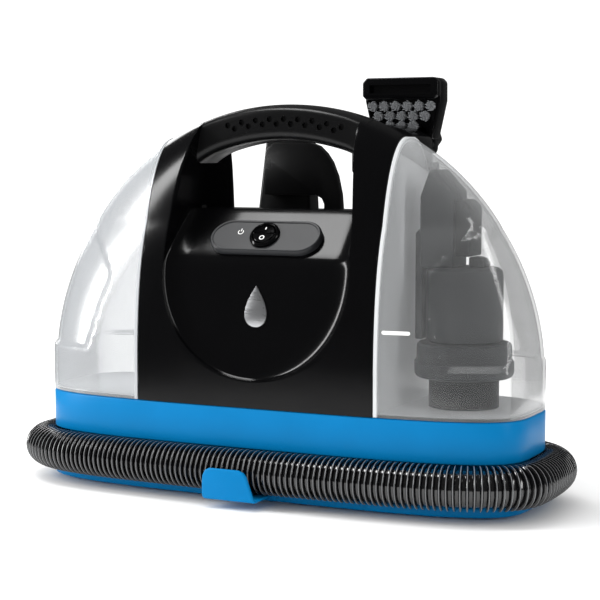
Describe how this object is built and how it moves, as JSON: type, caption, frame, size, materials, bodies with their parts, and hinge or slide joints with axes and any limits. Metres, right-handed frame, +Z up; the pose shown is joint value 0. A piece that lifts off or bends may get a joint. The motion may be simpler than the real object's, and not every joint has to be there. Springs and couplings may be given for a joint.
{
  "type": "spot extractor",
  "caption": "Portable carpet and upholstery spot extractor with domed clear tanks, arched carry handle, brush tool and a corrugated hose wrapped round its base.",
  "frame": {"origin": "on the floor below the middle of the base", "axes": "+X to the collection tank along the length, -Y the front with the control panel, +Z up"},
  "size_m": [0.431, 0.1896, 0.3075],
  "materials": {
    "blue_shell": "satin moulded",
    "black_gloss": "high gloss",
    "black_plastic": "satin moulded",
    "black_rubber": "matt",
    "grey_plastic": "satin moulded",
    "dark_grey_plastic": "satin moulded",
    "white_plastic": "satin moulded",
    "frosted_clear": "lightly frosted",
    "smoke_clear": "clear",
    "hose_vinyl": "corrugated, semi-gloss",
    "silver_metal": "bright",
    "motor_steel": "plated",
    "copper_winding": "lacquered wire",
    "seal_rubber": "soft silicone",
    "bristle_nylon": "nylon filament",
    "clear_tube": "clear vinyl",
    "badge_silver": "satin chrome"
  },
  "bodies": {
    "machine": {"base_tub": "blue_shell", "bottom_plate": "black_plastic", "feet": "black_rubber", "hose_clip": "blue_shell", "base_screws": "silver_metal", "front_shell": "black_gloss", "rear_shell": "black_gloss", "handle": "black_plastic", "shell_screws": "silver_metal", "badge": "badge_silver", "control_panel": "grey_plastic", "switch_housing": "black_plastic", "wiring": "black_rubber", "cord_gland": "black_rubber", "motor_can": "motor_steel", "motor_field": "copper_winding", "motor_bearings": "silver_metal", "fan_housing": "dark_grey_plastic", "pump_body": "white_plastic", "pump_coil": "copper_winding", "inlet_tube": "clear_tube", "outlet_tube": "clear_tube", "suction_duct": "dark_grey_plastic", "air_duct": "dark_grey_plastic", "duct_manifold": "dark_grey_plastic", "hose_port": "black_plastic", "valve_well": "dark_grey_plastic", "hose": "hose_vinyl", "wand_holster": "black_gloss", "cord_post": "black_plastic", "cord_foot": "black_plastic"},
    "rocker": {"rocker": "black_gloss"},
    "rotor": {"armature": "motor_steel", "fan": "motor_steel"},
    "plunger": {"pump_plunger": "motor_steel"},
    "clean_tank": {"clean_tank": "frosted_clear"},
    "clean_cap": {"clean_cap": "dark_grey_plastic", "cap_seal": "seal_rubber", "valve_spring": "silver_metal"},
    "valve_poppet": {"valve_poppet": "white_plastic"},
    "collection_tank": {"collection_tank": "smoke_clear", "stack_riser": "dark_grey_plastic", "stack_collar": "grey_plastic", "separator": "grey_plastic", "deflector": "dark_grey_plastic", "float_guide": "black_plastic"},
    "float": {"float": "white_plastic"},
    "wand": {"hose_cuff": "black_rubber", "wand_front": "black_plastic", "wand_rear": "black_plastic", "spray_valve": "white_plastic"},
    "trigger": {"trigger": "blue_shell"},
    "brush_tool": {"tool_body": "black_plastic", "tool_window": "black_gloss", "spray_nozzle": "white_plastic", "bristles": "bristle_nylon"},
    "tool_latch": {"tool_latch": "black_plastic"},
    "cord_hook": {"cord_hook": "black_plastic"}
  },
  "joints": [
    {"name": "power_rocker", "type": "hinge", "parent": "machine", "child": "rocker", "pos_m": [0, -0.04054, 0.19154], "axis": [1, 0, 0], "range_deg": [0, 12]},
    {"name": "fan_spin", "type": "hinge", "parent": "machine", "child": "rotor", "pos_m": [0.02, 0, 0.11], "axis": [0, 0, 1], "continuous": true},
    {"name": "pump_stroke", "type": "slide", "parent": "machine", "child": "plunger", "axis": [0, 0, 1], "range_m": [0, 0.003]},
    {"name": "clean_tank_lift", "type": "slide", "parent": "machine", "child": "clean_tank", "axis": [0, 0, 1], "range_m": [0, 0.11]},
    {"name": "clean_cap_twist", "type": "hinge", "parent": "clean_tank", "child": "clean_cap", "pos_m": [-0.14, 0, 0.055], "axis": [0, 0, 1], "range_deg": [0, 90]},
    {"name": "clean_valve_lift", "type": "slide", "parent": "clean_cap", "child": "valve_poppet", "axis": [0, 0, 1], "range_m": [0, 0.004], "stiffness_N_per_m": 150, "springref_m": -0.003, "deforming": ["valve_spring"]},
    {"name": "collection_tank_lift", "type": "slide", "parent": "machine", "child": "collection_tank", "axis": [0, 0, 1], "range_m": [0, 0.1]},
    {"name": "float_rise", "type": "slide", "parent": "collection_tank", "child": "float", "axis": [0, 0, 1], "range_m": [0, 0.02]},
    {"name": "wand_tilt", "type": "hinge", "parent": "machine", "child": "wand", "pos_m": [0.067, 0.079, 0.088], "axis": [-1, 0, 0], "range_deg": [0, 18]},
    {"name": "spray_trigger", "type": "hinge", "parent": "wand", "child": "trigger", "pos_m": [0.067, 0.07, 0.226], "axis": [1, 0, 0], "range_deg": [0, 7], "stiffness_Nm_per_rad": 0.4, "springref_deg": -8.59},
    {"name": "brush_tool_pull", "type": "slide", "parent": "wand", "child": "brush_tool", "axis": [0, 0, 1], "range_m": [0, 0.03]},
    {"name": "tool_latch_press", "type": "slide", "parent": "brush_tool", "child": "tool_latch", "axis": [-1, 0, 0], "range_m": [0, 0.0024], "stiffness_N_per_m": 300, "springref_m": -0.002},
    {"name": "cord_hook_turn", "type": "hinge", "parent": "machine", "child": "cord_hook", "pos_m": [-0.038, 0.072, 0.226], "axis": [0, 1, 0], "range_deg": [0, 90]}
  ]
}
